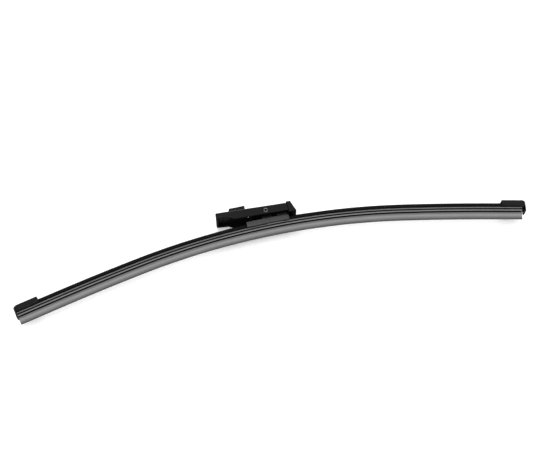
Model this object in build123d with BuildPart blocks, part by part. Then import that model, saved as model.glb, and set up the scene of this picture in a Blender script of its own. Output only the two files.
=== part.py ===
from build123d import *
from math import atan2, cos, degrees, radians, sin
import os

# Flat wiper blade lying on its flank. X runs along the blade from heel to tip, Y from the wiping
# lip to the arm, Z up. The origin is on the pivot axis, midway between the flanks. Millimetres.
# A "rise" is a height in the blade's cross-section above the middle of the spring strips, and a
# "half" is a distance from the blade's middle plane. A "reach" is measured along the strips.

# Bow of the strips: a tighter crown, a flatter stretch on either side, then straight ends
crown_radius = 545.0
crown_reach = 104.0
outer_radius = 1810.0
outer_reach = 172.0
pivot_above_strips = 8.25

# Spring strips
strip_width = 3.8
strip_thickness = 0.9
strip_reach = 199.0
notch_length = 2.4
notch_depth = 0.7
notch_from_end = 4.0

# Wiping rubber, which has crept a little towards the heel in its strips
rubber_over = 0.3
rubber_creep = 1.0
web_half = 0.8
rib_half = 3.0
rib_height = 1.15
rib_chamfer = 0.25
groove_half = 1.1
groove_height = 1.1
neck_half = 0.5
neck_height = 0.9
shoulder_half = 2.2
shoulder_height = 0.85
shoulder_chamfer = 0.25
lip_height = 5.15
lip_hollow = 0.45
tip_half = 0.4
head_half = 2.3
head_height = 1.25
head_chamfer = 0.4

# Spoiler
spoiler_wall = 0.7
spoiler_under = 0.4
spoiler_grip = 0.9
spoiler_crest = 3.0
spoiler_flank_top = 1.05
spoiler_chamfer = 0.25

# End caps
cap_half = 6.4
cap_top = 4.2
cap_bottom = -1.0
cap_corner = 1.6
cap_end_round = 3.9
cap_mouth_bevel = 0.4
cap_length = 19.2
cap_edge = 0.8
cap_wall = 1.0
cap_wall_low = -3.8
cap_seat = 16.8
nib_length = 1.8

# Base that grips the strips
base_reach = 16.5
base_half = 6.0
base_top = 3.2
base_bottom = -1.2
base_corner = 0.5
base_window_half = 6.5
base_window_shift = 5.5
pocket_depth = 0.6
pocket_reach = 14.0
ear_half = 5.5
ear_thickness = 1.6
ear_radius = 2.35
ear_foot = 4.2
lug_start = 8.4
lug_end = 16.0
lug_top_start = -1.2
lug_top_end = -2.0

# Pivot pin, a hollow rivet
pin_radius = 1.4
pin_bore_radius = 0.85
rim_radius = 1.95
rim_thickness = 0.55
rim_bevel = 0.25
rim_sink = 0.1

# Arm adapter, turned on the pin as it was left
adapter_tilt = 3.1
adapter_half = 9.3
adapter_top = 3.8
side_wall = 1.3
top_wall = 1.1
nose_reach = 38.85
nose_wall = 1.4
nose_low = 0.5
step_high_at = 29.5
step_high = 0.0
step_low_at = 23.7
step_low = -3.2
skirt_end_low = -2.6
adapter_round = 0.8
nose_round = 1.2
boss_radius = 2.6
cross_rib_at = 11.2
cross_rib_thickness = 1.2
cross_rib_low = -1.2
collar_half = 10.2
collar_top = 4.4
collar_low = -4.3
collar_start_top = 16.5
collar_start_low = 17.4
collar_end_top = 19.8
collar_end_low = 23.2
collar_round = 0.7
collar_web_low = -2.0
collar_web = 1.4
stop_half = 3.3
stop_reach = 23.7
stop_root = 0.6
stop_shoulder = -0.4

# Release tongue in the adapter's top wall
tongue_half = 5.5
tongue_root = 33.0
tongue_tip = 13.6
tab_start = 28.8
tab_shoulder = 27.6
tab_end = 15.45
tab_top_front = 8.1
tab_top_back = 8.8
tab_round = 0.6
grip_count = 4
grip_pitch = 2.0
grip_width = 0.8
grip_depth = 0.35

# Clearances
slot_play = 0.05
strip_side_play = 0.1
spoiler_play = 0.05
head_play = 0.15
rib_play = 0.2
cap_play = 0.15
end_play = 0.2
pin_play = 0.05
rim_play = 0.3
rim_side_play = 0.3
ear_play = 0.3
tongue_play = 0.4
root_play = 0.1

# Levels, widths and reaches that follow from the sizes above
strip_inner = web_half + strip_side_play
strip_outer = strip_inner + strip_width
slot_floor = -strip_thickness / 2 - slot_play
slot_roof = strip_thickness / 2 + slot_play
upper_rib = slot_floor - rib_height
groove_floor = upper_rib - groove_height
lower_rib = groove_floor - rib_height
shoulder_top = lower_rib - neck_height
lip_tip = shoulder_top - lip_height
head_top = slot_roof + head_height
room_half = strip_outer + strip_side_play
spoiler_room_half = strip_outer + spoiler_play
spoiler_half = spoiler_room_half + spoiler_wall
spoiler_bottom = slot_floor - spoiler_under
ear_inner = ear_half - ear_thickness
channel_half = adapter_half - side_wall
channel_roof = adapter_top - top_wall
rubber_reach = strip_reach + rubber_over
cap_face = rubber_reach + rubber_creep + end_play
bends = [(crown_radius, crown_reach), (outer_radius, outer_reach)]


def bow_station(reach):
    """Plane across the blade: x to the upper flank, y to the arm, z towards the heel."""
    x = 0.0
    y = -pivot_above_strips
    slope = 0.0
    passed = 0.0
    for radius, bend_end in bends:
        turn = max(min(abs(reach), bend_end) - passed, 0) / radius
        x += radius * (sin(slope + turn) - sin(slope))
        y -= radius * (cos(slope) - cos(slope + turn))
        slope += turn
        passed = bend_end
    straight = max(abs(reach) - passed, 0)
    x += straight * cos(slope)
    y -= straight * sin(slope)
    side = 1 if reach >= 0 else -1
    return Plane(origin=(side * x, y, 0), x_dir=(0, 0, 1), z_dir=(-cos(slope), side * sin(slope), 0))


def bow_path(start, stop):
    """Line of the strips from one reach down to another, for sweeping a section along it."""
    joints = [outer_reach, crown_reach, -crown_reach, -outer_reach]
    marks = [start] + [joint for joint in joints if stop < joint < start] + [stop]
    with BuildLine() as line:
        for first, last in zip(marks, marks[1:]):
            middle = (first + last) / 2
            if abs(middle) > outer_reach:
                Line(bow_station(first).origin, bow_station(last).origin)
            else:
                ThreePointArc(
                    bow_station(first).origin, bow_station(middle).origin, bow_station(last).origin
                )
    return line.line


os.makedirs("parts", exist_ok=True)

# The rubber is one extrusion, so its whole section is drawn once and swept along the bow
with BuildPart() as wiper_rubber:
    with BuildSketch(bow_station(rubber_reach - rubber_creep)) as rubber_section:
        with BuildLine():
            Line((0, lip_tip), (tip_half, lip_tip))
            lip_foot = shoulder_top - shoulder_height
            ThreePointArc(
                (tip_half, lip_tip),
                ((tip_half + shoulder_half) / 2 - lip_hollow, (lip_tip + lip_foot) / 2),
                (shoulder_half, lip_foot),
            )
            Polyline(
                (shoulder_half, lip_foot),
                (shoulder_half, shoulder_top - shoulder_chamfer),
                (shoulder_half - shoulder_chamfer, shoulder_top),
                (neck_half, shoulder_top),
                (neck_half, lower_rib),
                (rib_half, lower_rib),
                (rib_half, groove_floor),
                (groove_half, groove_floor),
                (groove_half, upper_rib),
                (rib_half, upper_rib),
                (rib_half, slot_floor),
                (web_half, slot_floor),
                (web_half, slot_roof),
                (head_half, slot_roof),
                (head_half, head_top - head_chamfer),
                (head_half - head_chamfer, head_top),
                (0, head_top),
            )
            mirror(about=Plane.YZ)
        make_face()
        rib_corners = [v for v in rubber_section.vertices() if abs(abs(v.X) - rib_half) < 0.01]
        chamfer(rib_corners, rib_chamfer)
    sweep(path=bow_path(rubber_reach - rubber_creep, -rubber_reach - rubber_creep))

# Flat steel strips, with a notch near each end where the end cap's nib drops in
with BuildPart() as front_spring_strip:
    with BuildSketch(bow_station(strip_reach)):
        with Locations(((strip_inner + strip_outer) / 2, 0)):
            Rectangle(strip_width, strip_thickness)
    sweep(path=bow_path(strip_reach, -strip_reach))
    for reach in (strip_reach - notch_from_end, notch_from_end - strip_reach):
        with BuildSketch(bow_station(reach)):
            with Locations((strip_outer, 0)):
                Rectangle(2 * notch_depth, 2 * strip_thickness)
        extrude(amount=notch_length / 2, both=True, mode=Mode.SUBTRACT)

with BuildPart() as rear_spring_strip:
    mirror(front_spring_strip.part, about=Plane.XY)

# Spoiler: a low arched cover that hooks under the outer edges of the strips
spoiler_start = cap_face - cap_seat - end_play
with BuildPart() as tip_spoiler:
    with BuildSketch(bow_station(spoiler_start)) as spoiler_section:
        with BuildLine():
            ThreePointArc(
                (-spoiler_half, spoiler_flank_top), (0, spoiler_crest), (spoiler_half, spoiler_flank_top)
            )
            Polyline(
                (spoiler_half, spoiler_flank_top),
                (spoiler_half, spoiler_bottom),
                (strip_outer - spoiler_grip, spoiler_bottom),
                (strip_outer - spoiler_grip, slot_floor),
                (spoiler_room_half, slot_floor),
                (spoiler_room_half, slot_roof),
                (head_half + head_play, slot_roof),
                (head_half + head_play, head_top + head_play),
                (0, head_top + head_play),
            )
            Polyline(
                (-spoiler_half, spoiler_flank_top),
                (-spoiler_half, spoiler_bottom),
                (spoiler_grip - strip_outer, spoiler_bottom),
                (spoiler_grip - strip_outer, slot_floor),
                (-spoiler_room_half, slot_floor),
                (-spoiler_room_half, slot_roof),
                (-head_half - head_play, slot_roof),
                (-head_half - head_play, head_top + head_play),
                (0, head_top + head_play),
            )
        make_face()
        outer_corners = [v for v in spoiler_section.vertices() if abs(abs(v.X) - spoiler_half) < 0.01]
        chamfer(outer_corners, spoiler_chamfer)
    sweep(path=bow_path(spoiler_start, base_reach + end_play))

with BuildPart() as heel_spoiler:
    mirror(tip_spoiler.part, about=Plane.YZ)

# End cap: a hood with a jaw under the strips, closed at its rounded end by a wall that hangs lower
cap_plane = bow_station(cap_face)
cap_inward = Axis(cap_plane.origin, cap_plane.z_dir)
cap_rise = Axis(cap_plane.origin, cap_plane.y_dir)
cap_foot = Plane(cap_plane.from_local_coords((0, cap_wall_low, 0)), cap_plane.x_dir, cap_plane.y_dir)
with BuildPart() as tip_end_cap:
    with BuildSketch(cap_foot) as hood_plan:
        with Locations((0, cap_wall)):
            Rectangle(2 * cap_half, cap_length, align=(Align.CENTER, Align.MAX))
        fillet(hood_plan.vertices().group_by(Axis.Y)[-1], cap_end_round)
    extrude(amount=cap_top - cap_wall_low)
    fillet(tip_end_cap.faces().sort_by(cap_rise)[-1].edges().sort_by(cap_inward)[:-1], cap_corner)
    chamfer(tip_end_cap.faces().sort_by(cap_inward)[-1].edges().sort_by(cap_rise)[1:], cap_mouth_bevel)
    with BuildSketch(cap_plane):
        with Locations((0, cap_bottom)):
            Rectangle(2 * cap_half, cap_bottom - cap_wall_low, align=(Align.CENTER, Align.MAX))
    extrude(amount=cap_length, mode=Mode.SUBTRACT)
    jaw_edges = tip_end_cap.faces().filter_by(cap_rise).group_by(cap_rise)[1].edges()
    fillet(jaw_edges.filter_by(cap_inward), cap_edge)
    with BuildSketch(cap_plane):
        Rectangle(2 * room_half, slot_roof - slot_floor)
        with Locations((0, (slot_roof + head_top + head_play) / 2)):
            Rectangle(2 * (head_half + head_play), head_top + head_play - slot_roof + strip_thickness)
        with Locations((0, cap_bottom)):
            Rectangle(2 * (rib_half + rib_play), 2 * (slot_floor - cap_bottom) + strip_thickness)
    extrude(amount=cap_length, mode=Mode.SUBTRACT)
    with BuildSketch(cap_plane.offset(cap_seat)) as spoiler_room:
        with Locations((0, (spoiler_crest + cap_play + cap_bottom) / 2)):
            Rectangle(2 * (spoiler_half + cap_play), spoiler_crest + cap_play - cap_bottom)
        fillet(spoiler_room.vertices().group_by(Axis.Y)[-1], cap_corner - cap_half + spoiler_half + cap_play)
    extrude(amount=cap_length, mode=Mode.SUBTRACT)
    with BuildSketch(bow_station(strip_reach - notch_from_end)):
        nib_inner = strip_outer - notch_depth + strip_side_play
        nib_root = (room_half + cap_half) / 2
        for side in (-1, 1):
            with Locations((side * (nib_inner + nib_root) / 2, 0)):
                Rectangle(nib_root - nib_inner, slot_roof - slot_floor)
    extrude(amount=nib_length / 2, both=True)

with BuildPart() as heel_end_cap:
    mirror(tip_end_cap.part, about=Plane.YZ)

# Base: a clamp swept along the bow round both strips, with ears for the pin and guide lugs
base_top_level = base_top - pivot_above_strips
with BuildPart() as connector_base:
    with BuildSketch(bow_station(base_reach)) as base_section:
        with Locations((0, (base_top + base_bottom) / 2)):
            Rectangle(2 * base_half, base_top - base_bottom)
        fillet(base_section.vertices(), base_corner)
        Rectangle(2 * room_half, slot_roof - slot_floor, mode=Mode.SUBTRACT)
        with Locations((0, (head_top + head_play) / 2)):
            Rectangle(2 * (head_half + head_play), head_top + head_play, mode=Mode.SUBTRACT)
        with Locations((0, base_bottom)):
            Rectangle(2 * (rib_half + rib_play), 2 * (slot_floor - base_bottom), mode=Mode.SUBTRACT)
    sweep(path=bow_path(base_reach, -base_reach))
    with BuildSketch(Plane.XZ.offset(pivot_above_strips)):
        with Locations((base_window_shift, 0)):
            Rectangle(2 * base_window_half, 2 * room_half)
    extrude(amount=base_top - base_bottom, mode=Mode.SUBTRACT)
    with BuildSketch(Plane.XZ.offset(-base_top_level)):
        Rectangle(2 * pocket_reach, 2 * ear_inner)
    extrude(amount=pocket_depth, mode=Mode.SUBTRACT)
    with BuildSketch(Plane.XY.offset(ear_inner)):
        with BuildLine():
            Polyline(
                (-ear_radius, 0),
                (-ear_foot, base_top_level - base_corner),
                (ear_foot, base_top_level - base_corner),
                (ear_radius, 0),
            )
            ThreePointArc((ear_radius, 0), (0, ear_radius), (-ear_radius, 0))
        make_face()
        with BuildLine():
            Polyline(
                (lug_start, base_top_level - 2 * base_corner),
                (lug_end, base_top_level - 2 * base_corner),
                (lug_end, lug_top_end),
                (lug_start, lug_top_start),
                close=True,
            )
        make_face()
    extrude(amount=ear_thickness)
    mirror(about=Plane.XY)
    with BuildSketch(Plane.XY):
        Circle(pin_radius)
    extrude(amount=base_half, both=True, mode=Mode.SUBTRACT)

# Hollow rivet with a rolled rim at each end, sunk in the adapter's flanks
rim_top = adapter_half - rim_sink
rim_foot = rim_top - rim_thickness
with BuildPart() as pivot_pin:
    with BuildSketch(Plane.XZ):
        with BuildLine():
            Polyline(
                (pin_bore_radius, 0),
                (pin_radius, 0),
                (pin_radius, rim_foot),
                (rim_radius, rim_foot),
                (rim_radius, rim_top - rim_bevel),
                (rim_radius - rim_bevel, rim_top),
                (pin_bore_radius, rim_top),
                close=True,
            )
        make_face()
    revolve(axis=Axis.Z)
    mirror(about=Plane.XY)

# Adapter: a channel open below, stepped at its sides, with a collar where the arm's end stops and
# a swelling behind it that lands on the spoiler when the adapter is tilted too far
adapter_plane = Plane((0, 0, 0), x_dir=(cos(radians(adapter_tilt)), -sin(radians(adapter_tilt)), 0))
adapter_up = Axis((0, 0, 0), adapter_plane.y_dir)
adapter_along = Axis((0, 0, 0), adapter_plane.x_dir)
collar_slant = (collar_end_low - collar_end_top) / (collar_top - collar_low)
web_roof_at = collar_end_top + (collar_top - channel_roof) * collar_slant - collar_web
web_foot_at = collar_end_top + (collar_top - collar_web_low) * collar_slant - collar_web
stop_root_at = collar_end_top + (collar_top - stop_root) * collar_slant - collar_web
with BuildPart() as arm_adapter:
    with BuildSketch(adapter_plane):
        with BuildLine():
            Polyline(
                (-nose_reach, adapter_top),
                (collar_end_top, adapter_top),
                (collar_end_top, skirt_end_low),
                (-step_low_at, step_low),
                (-step_high_at, step_high),
                (-nose_reach, nose_low),
                close=True,
            )
        make_face()
    extrude(amount=adapter_half, both=True)
    fillet(arm_adapter.faces().sort_by(adapter_along)[0].edges().filter_by(adapter_up), nose_round)
    fillet(arm_adapter.faces().sort_by(adapter_up)[-1].edges(), adapter_round)
    with BuildSketch(adapter_plane):
        with BuildLine():
            Polyline(
                (collar_start_top, collar_top),
                (collar_end_top, collar_top),
                (collar_end_low, collar_low),
                (collar_start_low, collar_low),
                close=True,
            )
        make_face()
    extrude(amount=collar_half, both=True)
    for end in (0, -1):
        fillet(arm_adapter.faces().sort_by(Axis.Z)[end].edges(), collar_round)
    with BuildSketch(adapter_plane):
        with BuildLine():
            Polyline(
                (nose_wall - nose_reach, channel_roof),
                (web_roof_at, channel_roof),
                (web_foot_at, collar_web_low),
                (2 * collar_end_low, collar_web_low),
                (2 * collar_end_low, 2 * collar_low),
                (nose_wall - nose_reach, 2 * collar_low),
                close=True,
            )
        make_face()
    extrude(amount=channel_half, both=True, mode=Mode.SUBTRACT)
    with BuildSketch(adapter_plane):
        with BuildLine():
            Polyline(
                (stop_root_at, stop_root),
                (stop_reach, stop_shoulder),
                (stop_reach, collar_web_low),
                (web_foot_at, collar_web_low),
                close=True,
            )
        make_face()
    extrude(amount=stop_half, both=True)
    with BuildSketch(adapter_plane):
        with Locations((-cross_rib_at, cross_rib_low)):
            Rectangle(
                cross_rib_thickness,
                channel_roof - cross_rib_low + top_wall / 2,
                align=(Align.MAX, Align.MIN),
            )
    extrude(amount=channel_half + side_wall / 2, both=True)
    for side in (-1, 1):
        with BuildSketch(adapter_plane.offset(side * (ear_half + ear_play))):
            Circle(boss_radius)
        extrude(amount=side * (channel_half - ear_half - ear_play + side_wall / 2))
        with BuildSketch(adapter_plane.offset(side * (rim_foot - rim_play))):
            Circle(rim_radius + rim_side_play)
        extrude(amount=side * adapter_half, mode=Mode.SUBTRACT)
    with BuildSketch(adapter_plane):
        Circle(pin_radius + pin_play)
    extrude(amount=adapter_half, both=True, mode=Mode.SUBTRACT)
    with BuildSketch(adapter_plane):
        with Locations((-tongue_root - root_play, channel_roof - top_wall)):
            Rectangle(
                tongue_root + root_play - tongue_tip + tongue_play,
                3 * top_wall,
                align=(Align.MIN, Align.MIN),
            )
    extrude(amount=tongue_half + tongue_play, both=True, mode=Mode.SUBTRACT)

# Tongue: a springy plate level with the adapter's top, with a ramped tab that snaps into the arm
with BuildPart() as release_tongue:
    with BuildSketch(adapter_plane):
        with Locations((-tongue_root, channel_roof)):
            Rectangle(tongue_root - tongue_tip, top_wall, align=(Align.MIN, Align.MIN))
    extrude(amount=tongue_half, both=True)
    with BuildSketch(adapter_plane):
        with BuildLine():
            Polyline(
                (-tab_start, adapter_top - top_wall / 2),
                (-tab_start, adapter_top),
                (-tab_shoulder, tab_top_front),
                (-tab_end, tab_top_back),
                (-tab_end, adapter_top - top_wall / 2),
                close=True,
            )
        make_face()
    extrude(amount=tongue_half, both=True)
    fillet(release_tongue.faces().sort_by(adapter_up)[-1].edges(), tab_round)
    with BuildSketch(adapter_plane):
        tab_slope = degrees(atan2(tab_top_back - tab_top_front, tab_shoulder - tab_end))
        tab_middle = (-(tab_shoulder + tab_end) / 2, (tab_top_front + tab_top_back) / 2)
        with Locations(Location(tab_middle, tab_slope)):
            with GridLocations(grip_pitch, 1, grip_count, 1):
                Rectangle(grip_width, 2 * grip_depth)
    extrude(amount=tongue_half, both=True, mode=Mode.SUBTRACT)

wiper_rubber.part.label = "wiper_rubber"
export_step(wiper_rubber.part, "parts/wiper_rubber.step")
front_spring_strip.part.label = "front_spring_strip"
export_step(front_spring_strip.part, "parts/front_spring_strip.step")
rear_spring_strip.part.label = "rear_spring_strip"
export_step(rear_spring_strip.part, "parts/rear_spring_strip.step")
tip_spoiler.part.label = "tip_spoiler"
export_step(tip_spoiler.part, "parts/tip_spoiler.step")
heel_spoiler.part.label = "heel_spoiler"
export_step(heel_spoiler.part, "parts/heel_spoiler.step")
tip_end_cap.part.label = "tip_end_cap"
export_step(tip_end_cap.part, "parts/tip_end_cap.step")
heel_end_cap.part.label = "heel_end_cap"
export_step(heel_end_cap.part, "parts/heel_end_cap.step")
connector_base.part.label = "connector_base"
export_step(connector_base.part, "parts/connector_base.step")
pivot_pin.part.label = "pivot_pin"
export_step(pivot_pin.part, "parts/pivot_pin.step")
arm_adapter.part.label = "arm_adapter"
export_step(arm_adapter.part, "parts/arm_adapter.step")
release_tongue.part.label = "release_tongue"
export_step(release_tongue.part, "parts/release_tongue.step")
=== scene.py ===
# %% [markdown]
# # A flat wiper blade on white paper
# The blade was drawn as solids first, and those solids give every size and place here. This lesson
# makes the long extruded pieces again as fine sweeps, gives each moulded piece its finish, and lays
# the blade on its flank on white paper under soft light. The blade runs along X, its wiping lip
# points to -Y and its upper flank looks up along Z. Everything is in metres.

# %% Load the solids
import math

import bmesh
import bpy
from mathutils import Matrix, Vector


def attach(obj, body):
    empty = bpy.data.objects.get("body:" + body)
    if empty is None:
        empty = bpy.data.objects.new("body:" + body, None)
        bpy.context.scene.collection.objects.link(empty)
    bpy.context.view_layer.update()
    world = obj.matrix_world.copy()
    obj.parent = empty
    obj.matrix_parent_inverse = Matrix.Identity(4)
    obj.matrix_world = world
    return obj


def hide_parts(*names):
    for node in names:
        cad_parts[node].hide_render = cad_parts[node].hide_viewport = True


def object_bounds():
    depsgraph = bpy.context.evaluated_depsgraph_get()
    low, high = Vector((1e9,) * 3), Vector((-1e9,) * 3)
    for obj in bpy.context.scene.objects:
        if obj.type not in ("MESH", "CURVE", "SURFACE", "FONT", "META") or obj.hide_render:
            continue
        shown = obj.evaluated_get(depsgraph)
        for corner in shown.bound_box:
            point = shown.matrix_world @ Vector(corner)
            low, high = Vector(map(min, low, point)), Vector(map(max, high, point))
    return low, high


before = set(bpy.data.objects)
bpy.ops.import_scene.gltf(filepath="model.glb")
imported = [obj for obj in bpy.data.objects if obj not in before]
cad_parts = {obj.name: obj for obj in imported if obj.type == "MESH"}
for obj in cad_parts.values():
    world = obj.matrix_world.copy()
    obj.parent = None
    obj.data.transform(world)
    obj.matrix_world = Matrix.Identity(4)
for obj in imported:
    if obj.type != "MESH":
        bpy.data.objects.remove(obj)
solid_low, solid_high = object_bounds()
mm = 0.001
print("solids:", ", ".join(sorted(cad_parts)))
print("box of the solids in mm:", [round(side / mm, 1) for side in solid_high - solid_low])

# %% [markdown]
# ## The bow
# Two flat steel strips hold the blade in a bow that presses it against the glass. The bow has a
# tighter crown, a flatter stretch on either side and straight ends. All long pieces follow it, so
# one function gives the point on the strips at any reach from the middle, and the direction from
# the lip to the arm there.

# %% Follow the bow
crown_radius = 545 * mm
crown_reach = 104 * mm
outer_radius = 1810 * mm
outer_reach = 172 * mm
pivot_above_strips = 8.25 * mm
to_flank = Vector((0, 0, 1))


def bow_at(reach):
    """Point on the strips' middle line at this reach, and the way from the lip to the arm."""
    x = 0.0
    y = -pivot_above_strips
    slope = 0.0
    passed = 0.0
    for radius, bend_end in ((crown_radius, crown_reach), (outer_radius, outer_reach)):
        turn = max(min(abs(reach), bend_end) - passed, 0) / radius
        x += radius * (math.sin(slope + turn) - math.sin(slope))
        y -= radius * (math.cos(slope) - math.cos(slope + turn))
        slope += turn
        passed = bend_end
    straight = max(abs(reach) - passed, 0)
    x += straight * math.cos(slope)
    y -= straight * math.sin(slope)
    side = math.copysign(1, reach)
    return Vector((side * x, y, 0)), Vector((side * math.sin(slope), math.cos(slope), 0))


for reach in (0, crown_reach, outer_reach):
    print("bow at", round(reach / mm), "mm:", [round(c / mm, 1) for c in bow_at(reach)[0]])

# %% [markdown]
# ## Corners of a section
# An extrusion has one section along its whole length, and it leaves the die with no knife edges.
# A bevel modifier could break the edges of the finished bar, but it also catches edges that should
# stay as they are. Here each corner of the drawn section carries its own radius and is replaced by
# a short curve. Only one flank is drawn, because the other mirrors it.

# %% Round a section's corners
corner_steps = 3


def round_corners(corners):
    """Closed outline from (half, rise, radius) corners. A corner with no radius is kept as it is."""
    outline = []
    for index, (half, rise, radius) in enumerate(corners):
        corner = Vector((half, rise))
        if radius == 0:
            outline.append(corner)
            continue
        before = Vector(corners[index - 1][:2]) - corner
        after = Vector(corners[(index + 1) % len(corners)][:2]) - corner
        cut = min(radius, 0.45 * before.length, 0.45 * after.length)
        start = corner + before.normalized() * cut
        end = corner + after.normalized() * cut
        for step in range(corner_steps + 1):
            share = step / corner_steps
            outline.append(start.lerp(corner, share).lerp(corner.lerp(end, share), share))
    return outline


def mirrored(corners):
    """The other flank's corners added, going on round the section."""
    return corners + [(-half, rise, radius) for half, rise, radius in reversed(corners)]


print("a rounded corner has", corner_steps + 1, "points")

# %% [markdown]
# ## From points to an object
# A worked mesh turns into an object in the same few steps for each piece, so one function takes
# them. Faces that meet at a low angle are shaded as one smooth surface, and sharper edges stay
# crisp.

# %% Finish a mesh
smooth_below = math.radians(32)


def finish_mesh(name, work):
    """Turns the worked mesh into an object, smooth apart from its sharp edges."""
    bmesh.ops.recalc_face_normals(work, faces=work.faces)
    mesh = bpy.data.meshes.new(name)
    work.to_mesh(mesh)
    work.free()
    mesh.shade_smooth()
    mesh.set_sharp_from_angle(angle=smooth_below)
    piece = bpy.data.objects.new(name, mesh)
    bpy.context.scene.collection.objects.link(piece)
    print(name, "has", len(mesh.polygons), "faces")
    return piece


print("edges stay crisp above", round(math.degrees(smooth_below)), "degrees")

# %% [markdown]
# ## Sweeping a section
# A straight bar could be bent with a modifier, but then its ends drift away from the solids.
# Placing one ring of points at every millimetre or so of the bow keeps the section true. Each face
# also notes how far along and how far round the section it lies, so that a finish can run along
# the blade as the lines of a die do.

# %% Carry a section along the bow
ring_spacing = 1.5 * mm


def sweep_along_bow(name, outline, start, stop):
    """A closed bar with this section from one reach to the other, with its ends closed."""
    work = bmesh.new()
    grain = work.loops.layers.uv.new("along")
    around = [0.0]
    for first, last in zip(outline, outline[1:] + outline[:1]):
        around.append(around[-1] + (last - first).length)
    count = math.ceil(abs(stop - start) / ring_spacing)
    reaches = [start + (stop - start) * step / count for step in range(count + 1)]
    rings = []
    for reach in reaches:
        place, to_arm = bow_at(reach)
        rings.append([work.verts.new(place + to_flank * p.x + to_arm * p.y) for p in outline])
    for row in range(count):
        for index in range(len(outline)):
            after = (index + 1) % len(outline)
            face = work.faces.new(
                (rings[row][index], rings[row][after], rings[row + 1][after], rings[row + 1][index])
            )
            places = ((row, index), (row, index + 1), (row + 1, index + 1), (row + 1, index))
            for loop, (at_row, at_index) in zip(face.loops, places):
                loop[grain].uv = (reaches[at_row], around[at_index])
    work.faces.new(rings[0])
    work.faces.new(reversed(rings[-1]))
    return finish_mesh(name, work)


print("rings stand", ring_spacing / mm, "mm apart")

# %% [markdown]
# ## The wiping rubber's section
# The rubber is one extrusion. Its head sits above the strips, which slide into the slots at its
# sides. Below them are two ribs, a thin neck that lets the lip flip over at each turn of the arm,
# and the tapered lip itself. The lip's flanks are slightly hollow, and this hollow gives part of the
# soft gradient from the bright shoulder to the darker wiping edge; the rest is painted into the
# rubber's colour as light and shade.

# %% Draw the rubber's section
strip_thickness = 0.9 * mm
slot_play = 0.05 * mm
slot_floor = -strip_thickness / 2 - slot_play
slot_roof = -slot_floor
web_half = 0.8 * mm
rib_half = 3.0 * mm
rib_height = 1.15 * mm
rib_round = 0.5 * mm
groove_half = 1.1 * mm
groove_height = 1.1 * mm
neck_half = 0.5 * mm
neck_height = 0.9 * mm
shoulder_half = 2.2 * mm
shoulder_height = 0.85 * mm
soft_corner = 0.25 * mm
tight_corner = 0.1 * mm
lip_height = 5.15 * mm
lip_hollow = 0.45 * mm
lip_steps = 8
tip_half = 0.4 * mm
tip_round = 0.06 * mm
head_half = 2.3 * mm
head_height = 1.25 * mm
head_round = 0.4 * mm
upper_rib = slot_floor - rib_height
groove_floor = upper_rib - groove_height
lower_rib = groove_floor - rib_height
shoulder_top = lower_rib - neck_height
lip_foot = shoulder_top - shoulder_height
lip_tip = shoulder_top - lip_height
head_top = slot_roof + head_height

lip_flank = []
for step in range(1, lip_steps):
    share = step / lip_steps
    half = tip_half + (shoulder_half - tip_half) * share - 4 * lip_hollow * share * (1 - share)
    lip_flank.append((half, lip_tip + (lip_foot - lip_tip) * share, 0))

rubber_flank = [
    (tip_half, lip_tip, tip_round),
    *lip_flank,
    (shoulder_half, lip_foot, soft_corner),
    (shoulder_half, shoulder_top, soft_corner),
    (neck_half, shoulder_top, soft_corner),
    (neck_half, lower_rib, soft_corner),
    (rib_half, lower_rib, rib_round),
    (rib_half, groove_floor, rib_round),
    (groove_half, groove_floor, soft_corner),
    (groove_half, upper_rib, soft_corner),
    (rib_half, upper_rib, rib_round),
    (rib_half, slot_floor, rib_round),
    (web_half, slot_floor, tight_corner),
    (web_half, slot_roof, tight_corner),
    (head_half, slot_roof, tight_corner),
    (head_half, head_top, head_round),
]
print("rubber from lip to head in mm:", round((head_top - lip_tip) / mm, 2))

# %% [markdown]
# ## The wiping rubber
# The rubber is a little longer than the strips and has crept towards the heel, as rubbers do when
# they are only held at their ends. It takes the place of the plain solid and rides on the blade.

# %% Sweep the rubber
rubber_reach = 199.3 * mm
rubber_creep = 1.0 * mm
rubber = sweep_along_bow(
    "wiping_rubber",
    round_corners(mirrored(rubber_flank)),
    rubber_reach - rubber_creep,
    -rubber_reach - rubber_creep,
)
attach(rubber, "blade")
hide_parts("wiper_rubber")
print("rubber is", round(2 * rubber_reach / mm, 1), "mm long")

# %% [markdown]
# ## The spoilers' section
# A low arched cover on either side of the connector keeps the wind from lifting the blade. It hooks
# under the outer edges of the strips. The arch is a circle through its two edges and its crest, so
# its radius follows from those three points.

# %% Draw the spoilers' section
strip_outer = 4.7 * mm
spoiler_room_half = strip_outer + 0.05 * mm
spoiler_half = spoiler_room_half + 0.7 * mm
spoiler_bottom = slot_floor - 0.4 * mm
spoiler_hook = strip_outer - 0.9 * mm
spoiler_crest = 3.0 * mm
spoiler_flank_top = 1.05 * mm
spoiler_round = 0.35 * mm
head_play = 0.15 * mm
arch_steps = 12
arch_rise = spoiler_crest - spoiler_flank_top
arch_radius = (spoiler_half**2 + arch_rise**2) / (2 * arch_rise)
arch_spread = math.asin(spoiler_half / arch_radius)

arch = []
for step in range(1, arch_steps):
    angle = arch_spread * (1 - step / arch_steps)
    rise = spoiler_crest - arch_radius * (1 - math.cos(angle))
    arch.append((arch_radius * math.sin(angle), rise, 0))

spoiler_flank = [
    (head_half + head_play, head_top + head_play, soft_corner),
    (head_half + head_play, slot_roof, tight_corner),
    (spoiler_room_half, slot_roof, tight_corner),
    (spoiler_room_half, slot_floor, tight_corner),
    (spoiler_hook, slot_floor, tight_corner),
    (spoiler_hook, spoiler_bottom, tight_corner),
    (spoiler_half, spoiler_bottom, spoiler_round),
    (spoiler_half, spoiler_flank_top, spoiler_round),
    *arch,
]
print("arch of the spoiler has a radius of", round(arch_radius / mm, 1), "mm")

# %% [markdown]
# ## The two spoilers
# Both covers are cut from the same extrusion. Each runs from the connector's end to a short way
# into the end cap, which hides its cut end.

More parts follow.
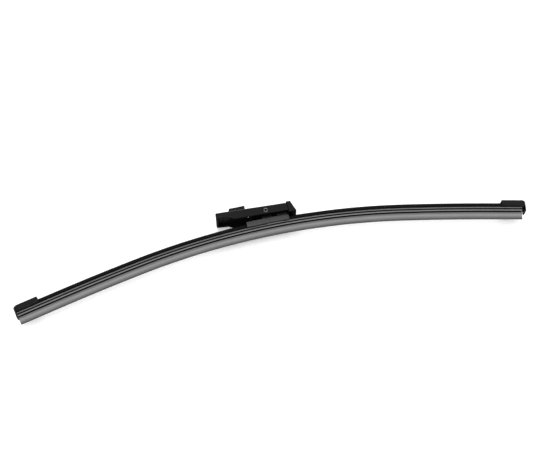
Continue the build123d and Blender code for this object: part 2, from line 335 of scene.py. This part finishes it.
# %% Sweep the two spoilers
spoiler_start = 16.7 * mm
spoiler_end = 183.5 * mm
spoiler_outline = round_corners(mirrored(spoiler_flank))
spoilers = []
for name, node, side in (
    ("tip_spoiler_cover", "tip_spoiler", 1),
    ("heel_spoiler_cover", "heel_spoiler", -1),
):
    spoiler = sweep_along_bow(name, spoiler_outline, side * spoiler_start, side * spoiler_end)
    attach(spoiler, "blade")
    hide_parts(node)
    spoilers.append(spoiler)
print("each spoiler is", round((spoiler_end - spoiler_start) / mm, 1), "mm long")

# %% [markdown]
# ## The rivet's profile
# The adapter tilts on a hollow rivet. Its tube is rolled over at each end, so the rim is a smooth
# round bead with a dark hole in the middle. A ring from the menu would give the bead but not the
# tube, so the whole profile is drawn on one side of the axis, as for a lathe.

# %% Draw the rivet's profile
bore_radius = 0.85 * mm
tube_radius = 1.4 * mm
rim_radius = 1.95 * mm
rim_top = 9.2 * mm
bead = (rim_radius - bore_radius) / 2
bead_middle = (rim_radius + bore_radius) / 2
bead_steps = 10

upper_end = [(bore_radius, 0)]
for step in range(bead_steps + 1):
    angle = math.pi * (1 - step / bead_steps)
    upper_end.append(
        (bead_middle + bead * math.cos(angle), rim_top - bead + bead * math.sin(angle))
    )
upper_end.append((tube_radius, rim_top - bead))
lower_end = [(radius, -height) for radius, height in reversed(upper_end[1:])]
print("rivet's profile has", len(upper_end) + len(lower_end), "points")

# %% [markdown]
# ## The rivet
# Turning the profile round the Z axis gives the tube and both rolled rims in one piece. It is held
# in the base's ears, so it rides on the blade and stays behind when the adapter tilts.

# %% Turn the rivet
turn_steps = 48


def turn_on_lathe(name, profile):
    """A closed profile carried round the Z axis."""
    work = bmesh.new()
    rings = []
    for step in range(turn_steps):
        angle = 2 * math.pi * step / turn_steps
        rings.append([
            work.verts.new((radius * math.cos(angle), radius * math.sin(angle), height))
            for radius, height in profile
        ])
    for step in range(turn_steps):
        here, there = rings[step], rings[(step + 1) % turn_steps]
        for index in range(len(profile)):
            after = (index + 1) % len(profile)
            work.faces.new((here[index], here[after], there[after], there[index]))
    return finish_mesh(name, work)


rivet = turn_on_lathe("rolled_rivet", upper_end + lower_end)
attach(rivet, "blade")
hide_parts("pivot_pin")
print("rivet is", round(2 * rim_top / mm, 1), "mm long")

# %% [markdown]
# ## The tongue's root
# The real tongue is moulded in one with the adapter's top wall and bends at its root. The solids
# have a narrow slit there, so that the tongue can turn, and light would shine through it. A thin
# round bead along the slit stands for the web of plastic at the bend. It is centred on the axis on
# which the tongue turns, so it closes the slit at every angle, and it rides on the adapter.

# %% Close the tongue's root
root_place = Vector((-32.81, 4.48, 0)) * mm
root_radius = 0.45 * mm
root_end = 5.5 * mm
root_round = 0.15 * mm
root_steps = 20

work = bmesh.new()
rings = []
for height, radius in (
    (-root_end, root_radius - root_round),
    (-root_end + root_round, root_radius),
    (root_end - root_round, root_radius),
    (root_end, root_radius - root_round),
):
    ring = []
    for step in range(root_steps):
        angle = 2 * math.pi * step / root_steps
        corner = Vector((radius * math.cos(angle), radius * math.sin(angle), height))
        ring.append(work.verts.new(root_place + corner))
    rings.append(ring)
for here, there in zip(rings, rings[1:]):
    for index in range(root_steps):
        after = (index + 1) % root_steps
        work.faces.new((here[index], here[after], there[after], there[index]))
work.faces.new(reversed(rings[0]))
work.faces.new(rings[-1])
root_web = finish_mesh("tongue_root_web", work)
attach(root_web, "adapter")

# %% [markdown]
# ## Starting a finish
# Each finish is made from nodes, so it needs no picture and goes with the piece when the piece
# moves. What is the same all over a surface is typed into the shader itself. Only what changes from
# place to place, such as grain, bloom, painted shade or a rubbed edge, comes from a texture.

# %% Start a finish
def new_finish(name, **constants):
    """A material whose shader has these constant inputs."""
    finish = bpy.data.materials.new(name)
    finish.use_nodes = True
    shader = finish.node_tree.nodes["Principled BSDF"]
    for socket, value in constants.items():
        shader.inputs[socket.replace("_", " ")].default_value = value
    print("finish", name, constants)
    return finish, finish.node_tree, shader


def dress(node, finish):
    """One finish on a solid, in place of what it was loaded with."""
    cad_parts[node].data.materials.clear()
    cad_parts[node].data.materials.append(finish)


print("solids to dress:", len(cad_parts))

# %% [markdown]
# ## Grain
# Noise is the base of most finishes. Taken from the piece's own coordinates it is even in all
# directions, as on a moulding. Taken from the way along the sweep and stretched, it makes the fine
# lines that a die leaves. Its values crowd round one half, so they are spread to the wanted range.

# %% Add grain
def add_noise(tree, coordinate, scale, detail=2.0, stretch=(1, 1, 1)):
    """Noise in the piece's own metres, or along its sweep, stretched where the grain is long."""
    if coordinate == "along":
        place = tree.nodes.new("ShaderNodeUVMap")
        place.uv_map = "along"
        source = place.outputs["UV"]
    else:
        place = tree.nodes.new("ShaderNodeTexCoord")
        source = place.outputs["Object"]
    mapping = tree.nodes.new("ShaderNodeMapping")
    mapping.inputs["Scale"].default_value = stretch
    noise = tree.nodes.new("ShaderNodeTexNoise")
    noise.inputs["Scale"].default_value = scale
    noise.inputs["Detail"].default_value = detail
    tree.links.new(source, mapping.inputs["Vector"])
    tree.links.new(mapping.outputs["Vector"], noise.inputs["Vector"])
    return noise.outputs["Fac"]


def spread_over(tree, fac, low, high, start=0.35, stop=0.65):
    """A texture's middle range spread between two greys or two levels."""
    ramp = tree.nodes.new("ShaderNodeMapRange")
    ramp.inputs["From Min"].default_value = start
    ramp.inputs["From Max"].default_value = stop
    ramp.inputs["To Min"].default_value = low
    ramp.inputs["To Max"].default_value = high
    tree.links.new(fac, ramp.inputs["Value"])
    return ramp.outputs["Result"]


def times(tree, first, second):
    """Two levels multiplied."""
    product = tree.nodes.new("ShaderNodeMath")
    product.operation = "MULTIPLY"
    tree.links.new(first, product.inputs[0])
    tree.links.new(second, product.inputs[1])
    return product.outputs[0]


print("grain runs along the sweep or through the piece")

# %% [markdown]
# ## Recesses, edges and relief
# Nothing rubs the floor of a groove, so it stays duller than an open face, and its colour is
# darkened there as painted shade. An ambient occlusion node tells how closed in a place is, by
# everything round it or by its own piece alone. Edges are the opposite: they are handled and
# knocked, so they are a little rounder and paler, and the paler edges also carry a painted
# highlight. A bevel node rounds the shading near an edge, and where its normal leaves the face's own
# normal, the edge is near. The size of a vector's Z tells how far a face looks, or lies, towards a
# flank. All of these follow the shape, not the camera.

# %% Find recesses and edges
def add_recess(tree, reach, deep, open_air=1.0, start=0.3, stop=0.85, alone=False):
    """How far a place lies in a recess: the first level deep inside, the other on open faces."""
    shade = tree.nodes.new("ShaderNodeAmbientOcclusion")
    shade.samples = 8
    shade.only_local = alone
    shade.inputs["Distance"].default_value = reach
    return spread_over(tree, shade.outputs["AO"], deep, open_air, start, stop)


def sideways(tree, vector):
    """Size of a vector's part that points out of the flanks."""
    axes = tree.nodes.new("ShaderNodeSeparateXYZ")
    tree.links.new(vector, axes.inputs["Vector"])
    size = tree.nodes.new("ShaderNodeMath")
    size.operation = "ABSOLUTE"
    tree.links.new(axes.outputs["Z"], size.inputs[0])
    return size.outputs[0]


def add_edges(tree, radius, worn_and_highlit):
    """Normals rounded near the edges, and a level that rises from 1 on faces to this on edges."""
    rounded = tree.nodes.new("ShaderNodeBevel")
    rounded.samples = 6
    rounded.inputs["Radius"].default_value = radius
    face = tree.nodes.new("ShaderNodeNewGeometry")
    agree = tree.nodes.new("ShaderNodeVectorMath")
    agree.operation = "DOT_PRODUCT"
    tree.links.new(rounded.outputs["Normal"], agree.inputs[0])
    tree.links.new(face.outputs["Normal"], agree.inputs[1])
    return rounded.outputs["Normal"], spread_over(tree, agree.outputs["Value"], worn_and_highlit, 1.0, 0.8, 0.98)


def add_bump(tree, shader, height, distance, normal=None):
    """Fine relief, with its depth in metres, on top of these normals."""
    bump = tree.nodes.new("ShaderNodeBump")
    bump.inputs["Distance"].default_value = distance
    tree.links.new(height, bump.inputs["Height"])
    if normal:
        tree.links.new(normal, bump.inputs["Normal"])
    tree.links.new(bump.outputs["Normal"], shader.inputs["Normal"])


print("recesses and edges are found from the shape")

# %% [markdown]
# ## Bloomed rubber, with painted shade
# The rubber carries a grey bloom of talc and wax. It is mottled over a few millimetres, and fine
# lines run along the blade where the rubber came through the die. Its colour also carries painted
# shade: it is darkened on the faces that do not look out of the flanks and in the grooves. A ramp
# from the middle of the section outwards paints the lip's gradient of light, lightest in the hollow
# of the lip and darker on the shoulder, the ribs and the wiping edge. This could be painted on the
# mesh, but the ramp puts it in the same places all along the blade, without a seam.

# %% Finish the rubber
painted_gradient_levels = [
    (tip_half, 0.22), (0.5 * mm, 0.42), (0.7 * mm, 0.62), (1.05 * mm, 0.83), (1.3 * mm, 0.97),
    (1.6 * mm, 0.88), (1.9 * mm, 0.6), (shoulder_half, 0.5), (rib_half, 0.82),
]
bloom_grey = (0.275, 0.305)
groove_reach = 1.1 * mm
bare_roughness = 0.7
bloomed_roughness = 0.4
die_stretch = (0.01, 1, 1)
rubber_finish, tree, shader = new_finish("bloomed_rubber_painted_shade", Specular_IOR_Level=0.3)
face = tree.nodes.new("ShaderNodeNewGeometry")
place = tree.nodes.new("ShaderNodeTexCoord")
# Painted shade: the colour fades to black on faces that do not look out of the flanks.
painted_shade_off_flanks = spread_over(tree, sideways(tree, face.outputs["Normal"]), 0.0, 1.0, 0.2, 0.7)
from_middle = sideways(tree, place.outputs["Object"])
# This ramp paints the lip's gradient of light into the rubber's colour, lightest in the hollow.
painted_gradient_ramp = tree.nodes.new("ShaderNodeValToRGB")
tree.links.new(spread_over(tree, from_middle, 0, 1, 0, rib_half), painted_gradient_ramp.inputs["Fac"])
stops = painted_gradient_ramp.color_ramp.elements
while len(stops) < len(painted_gradient_levels):
    stops.new(0.5)
for stop, (half, level) in zip(stops, painted_gradient_levels):
    stop.position = half / rib_half
    stop.color = (level, level, level, 1)
# Painted shade: ambient occlusion darkens the colour in the grooves.
painted_groove_shade = add_recess(tree, groove_reach, 0.0, start=0.6, stop=0.95, alone=True)
open_face_and_painted_shade = times(tree, painted_shade_off_flanks, painted_groove_shade)
mottling = add_noise(tree, "along", 120, detail=4, stretch=(0.35, 1, 1))
mottled_greys_and_painted_gradient = times(tree, spread_over(tree, mottling, *bloom_grey), painted_gradient_ramp.outputs["Color"])
# The mottled bloom, with the painted gradient and the painted shade on it.
bloom_and_painted_shade = times(tree, mottled_greys_and_painted_gradient, open_face_and_painted_shade)
tree.links.new(bloom_and_painted_shade, shader.inputs["Base Color"])
roughness = spread_over(tree, open_face_and_painted_shade, bare_roughness, bloomed_roughness, 0, 1)
tree.links.new(roughness, shader.inputs["Roughness"])
die_lines = add_noise(tree, "along", 4000, stretch=die_stretch)
add_bump(tree, shader, die_lines, 0.012 * mm)
rubber.data.materials.append(rubber_finish)
dress("wiper_rubber", rubber_finish)

# %% [markdown]
# ## Black plastics
# The spoilers are a softer extruded plastic, deep black and smooth, with faint die lines. The caps,
# the adapter and its tongue are moulded in a harder plastic with a fine eroded grain. Handling
# leaves their gloss slightly uneven and their edges a little paler, and the paler edges also carry a
# painted highlight. No hand reaches the insides of the hollow pieces, so those stay dull, and the
# colour of both plastics is darkened as painted shade wherever they are closed in.

# %% Finish the plastics
hollow_reach = 12 * mm
hollow_dullness = 4.0
even = (1, 1, 1)


def black_plastic(name, grey, gloss, roughness, edge, coordinate, grain_scale, grain_depth, stretch):
    """Black plastic: fine grain, uneven gloss, edges paler over this radius as wear and painted
    highlight, painted shade where closed in.
    """
    finish, tree, shader = new_finish(name, Specular_IOR_Level=gloss)
    handling = add_noise(tree, "object", 90, detail=3)
    # The paler edges stand for wear and for a painted highlight.
    normal, wear_and_painted_highlight = add_edges(tree, edge, 1.8)
    body = times(tree, spread_over(tree, handling, 0.85 * grey, 1.15 * grey), wear_and_painted_highlight)
    # Painted shade: the colour is darkened wherever the piece is closed in.
    openness_and_painted_shade = add_recess(tree, hollow_reach, 0.0, start=0.6, stop=0.97)
    tree.links.new(times(tree, body, openness_and_painted_shade), shader.inputs["Base Color"])
    polish = spread_over(tree, handling, 0.9 * roughness, 1.1 * roughness)
    dullness = spread_over(tree, openness_and_painted_shade, hollow_dullness, 1.0, 0, 1)
    tree.links.new(times(tree, polish, dullness), shader.inputs["Roughness"])
    grain = add_noise(tree, coordinate, grain_scale, stretch=stretch)
    add_bump(tree, shader, grain, grain_depth, normal)
    return finish


spoiler_finish = black_plastic(
    "extruded_black", grey=0.003, gloss=0.08, roughness=0.32, edge=0.15 * mm,
    coordinate="along", grain_scale=3000, grain_depth=0.002 * mm, stretch=die_stretch,
)
moulded_finish = black_plastic(
    "moulded_black", grey=0.005, gloss=0.15, roughness=0.2, edge=0.6 * mm,
    coordinate="object", grain_scale=5000, grain_depth=0.003 * mm, stretch=even,
)
for spoiler in spoilers:
    spoiler.data.materials.append(spoiler_finish)
for node in ("heel_spoiler", "tip_spoiler"):
    dress(node, spoiler_finish)
for node in ("heel_end_cap", "tip_end_cap", "arm_adapter", "release_tongue"):
    dress(node, moulded_finish)
root_web.data.materials.append(moulded_finish)

# %% [markdown]
# ## The coated base
# The base is a small die casting under a thin dark grey coat. The coat follows the casting's
# uneven skin and is rubbed thin along the edges, which are also paler as a painted highlight. Its
# colour is darkened as painted shade in the corners under the adapter.

# %% Finish the base
base_finish, tree, shader = new_finish("coated_casting", Specular_IOR_Level=0.1)
skin = add_noise(tree, "object", 900, detail=4)
# The paler edges stand for wear and for a painted highlight.
normal, wear_and_painted_highlight = add_edges(tree, 0.25 * mm, 1.5)
coat_and_painted_highlight = times(tree, spread_over(tree, skin, 0.064, 0.078), wear_and_painted_highlight)
# Painted shade: ambient occlusion darkens the colour in the corners under the adapter.
painted_shade_reach = 4.0 * mm
painted_shade_under_adapter = add_recess(tree, painted_shade_reach, 0.02, start=0.8, stop=1.0)
tree.links.new(times(tree, coat_and_painted_highlight, painted_shade_under_adapter), shader.inputs["Base Color"])
tree.links.new(spread_over(tree, skin, 0.42, 0.52), shader.inputs["Roughness"])
add_bump(tree, shader, skin, 0.02 * mm, normal)
dress("connector_base", base_finish)

# %% [markdown]
# ## Steel
# The strips are coated spring steel with lines from rolling. They only show inside the connector
# and at the ends. The rivet is plain steel, dull from rolling its rims over, with painted shade in
# its bore.

# %% Finish the steel
strip_finish, tree, shader = new_finish("coated_spring_steel", Metallic=0.7)
rolling = add_noise(tree, "object", 2500, stretch=(0.02, 1, 1))
tree.links.new(spread_over(tree, rolling, 0.06, 0.1), shader.inputs["Base Color"])
tree.links.new(spread_over(tree, rolling, 0.35, 0.45), shader.inputs["Roughness"])
for node in ("front_spring_strip", "rear_spring_strip"):
    dress(node, strip_finish)

rivet_finish, tree, shader = new_finish("rivet_steel", Metallic=1.0)
rolled = add_noise(tree, "object", 3500)
steel = spread_over(tree, rolled, 0.11, 0.15)
# Painted shade: ambient occlusion darkens the colour in the bore.
tree.links.new(times(tree, steel, add_recess(tree, 3.0 * mm, 0.1)), shader.inputs["Base Color"])
tree.links.new(spread_over(tree, rolled, 0.28, 0.4), shader.inputs["Roughness"])
rivet.data.materials.append(rivet_finish)
dress("pivot_pin", rivet_finish)

# %% [markdown]
# ## The paper
# The blade lies on one large sheet. Its lowest point is the adapter's collar, so the sheet is laid
# at the lowest point of the solids, and the rest of the blade hangs a few millimetres above it.

# %% Lay the paper
half_sheet = 15.0
sheet_corners = [(-1, -1), (1, -1), (1, 1), (-1, 1)]
sheet = bpy.data.meshes.new("paper")
sheet.from_pydata(
    [(x * half_sheet, y * half_sheet, solid_low.z) for x, y in sheet_corners], [], [(0, 1, 2, 3)]
)
paper = bpy.data.objects.new("paper", sheet)
bpy.context.scene.collection.objects.link(paper)
print("paper lies at", round(solid_low.z / mm, 2), "mm")

# %% [markdown]
# ## White paper
# Paper under soft light renders as a pale grey. It is lifted to white with a little light of its
# own, which only the camera and reflections see, so the blade is not lit by it. A lift that is the
# same everywhere would wash out the shadow, so it fades where the blade hangs close over the sheet,
# and this paints a deeper contact shadow there.

# %% Finish the paper
paper_finish, tree, shader = new_finish("white_paper", Roughness=0.9, Specular_IOR_Level=0.1)
shader.inputs["Base Color"].default_value = (0.86, 0.86, 0.86, 1)
shader.inputs["Emission Color"].default_value = (1, 1, 1, 1)
ray = tree.nodes.new("ShaderNodeLightPath")
shown = ray.outputs["Is Camera Ray"]
for other in ("Is Glossy Ray", "Is Transmission Ray"):
    either = tree.nodes.new("ShaderNodeMath")
    either.operation = "MAXIMUM"
    tree.links.new(shown, either.inputs[0])
    tree.links.new(ray.outputs[other], either.inputs[1])
    shown = either.outputs[0]
shadow_reach = 9.5 * mm
# The fading lift paints a deeper shadow where the blade hangs close.
lift = add_recess(tree, shadow_reach, 0.22, open_air=0.45, start=0.58, stop=0.95)
tree.links.new(times(tree, shown, lift), shader.inputs["Emission Strength"])
sheet.materials.append(paper_finish)

# %% [markdown]
# ## The light tent
# The tent's walls are bright near the paper and dim above it, which keeps the black flanks black.
# A broad soft light hangs overhead, slightly behind the blade, and shows the bloom on the lip and
# the ribs. A smaller one high in front fills the hollow of the lip. The world's background can hold
# all of this, because it is far away and soft.

# %% Light the tent
world = bpy.data.worlds.new("tent")
bpy.context.scene.world = world
world.use_nodes = True
tree = world.node_tree
sky = tree.nodes["Background"]
sky.inputs["Color"].default_value = (1, 1, 1, 1)
where = tree.nodes.new("ShaderNodeTexCoord")


def from_azimuth(azimuth, elevation):
    """Unit vector towards this place, with azimuth 0 in front of the lip."""
    turn, lift = math.radians(azimuth), math.radians(elevation)
    return Vector(
        (math.sin(turn) * math.cos(lift), -math.cos(turn) * math.cos(lift), math.sin(lift))
    )


def add_glow(direction, start, stop, low, high):
    """Light that changes smoothly with the cosine of the angle to this direction."""
    facing = tree.nodes.new("ShaderNodeVectorMath")
    facing.operation = "DOT_PRODUCT"
    facing.inputs[1].default_value = direction
    tree.links.new(where.outputs["Generated"], facing.inputs[0])
    glow = tree.nodes.new("ShaderNodeMapRange")
    glow.interpolation_type = "SMOOTHSTEP"
    glow.inputs["From Min"].default_value = start
    glow.inputs["From Max"].default_value = stop
    glow.inputs["To Min"].default_value = low
    glow.inputs["To Max"].default_value = high
    tree.links.new(facing.outputs["Value"], glow.inputs["Value"])
    return glow.outputs["Result"]


light = add_glow(to_flank, 0.0, 0.12, 1.0, 0.22)
for name, way, outer_angle, inner_angle, level in (
    ("overhead", from_azimuth(172, 80), 80, 20, 0.85),
    ("in front", from_azimuth(-35, 52), 38, 6, 1.0),
):
    edge = math.cos(math.radians(outer_angle))
    core = math.cos(math.radians(inner_angle))
    added = tree.nodes.new("ShaderNodeMath")
    added.operation = "ADD"
    tree.links.new(light, added.inputs[0])
    tree.links.new(add_glow(way, edge, core, 0.0, level), added.inputs[1])
    light = added.outputs[0]
    print("soft light", name, "comes from", [round(c, 2) for c in way])
tree.links.new(light, sky.inputs["Strength"])

# %% [markdown]
# ## The lamps
# A low lamp behind the blade lights the paper on that side and draws a thin bright line along the
# rounded backs of the spoilers and caps. It is a large rectangle, because a small lamp would throw
# a hard shadow. A weak lamp low in front keeps the faces that look towards the lip from going quite
# black.

# %% Set up the lamps
lamp_distance = 2.5


def add_lamp(name, way, width, height, power):
    """A rectangular lamp that faces the blade from this way."""
    light = bpy.data.lights.new(name, "AREA")
    light.shape = "RECTANGLE"
    light.size = width
    light.size_y = height
    light.energy = power
    stand = bpy.data.objects.new(name, light)
    stand.location = way * lamp_distance
    stand.rotation_mode = "QUATERNION"
    stand.rotation_quaternion = (-way).to_track_quat("-Z", "Y")
    bpy.context.scene.collection.objects.link(stand)
    print(name, "stands at", [round(c, 2) for c in stand.location])


add_lamp("back_lamp", from_azimuth(168, 26), 2.4, 0.7, 46)
add_lamp("front_lamp", from_azimuth(-4, 28), 0.7, 0.3, 10)

# %% [markdown]
# ## The camera
# The picture was taken from above the lip, a little from the heel's side. Distance and lens were
# found by fitting the bow, the caps and the pivot to the picture together. The plain Standard view
# shows each colour as it is lit.

# %% Set up the camera
view_way = from_azimuth(-12.99, 63.0)
view_distance = 0.750
view_target = Vector((1.25 * mm, -17.87 * mm, 0.175 * mm))
camera = bpy.data.cameras.new("camera")
camera.sensor_width = 36
camera.lens = 64.4
eye = bpy.data.objects.new("camera", camera)
eye.location = view_target + view_way * view_distance
eye.rotation_mode = "QUATERNION"
eye.rotation_quaternion = (-view_way).to_track_quat("-Z", "Y")
bpy.context.scene.collection.objects.link(eye)
bpy.context.scene.camera = eye
bpy.context.scene.view_settings.view_transform = "Standard"
print("camera stands at", [round(c, 3) for c in eye.location])
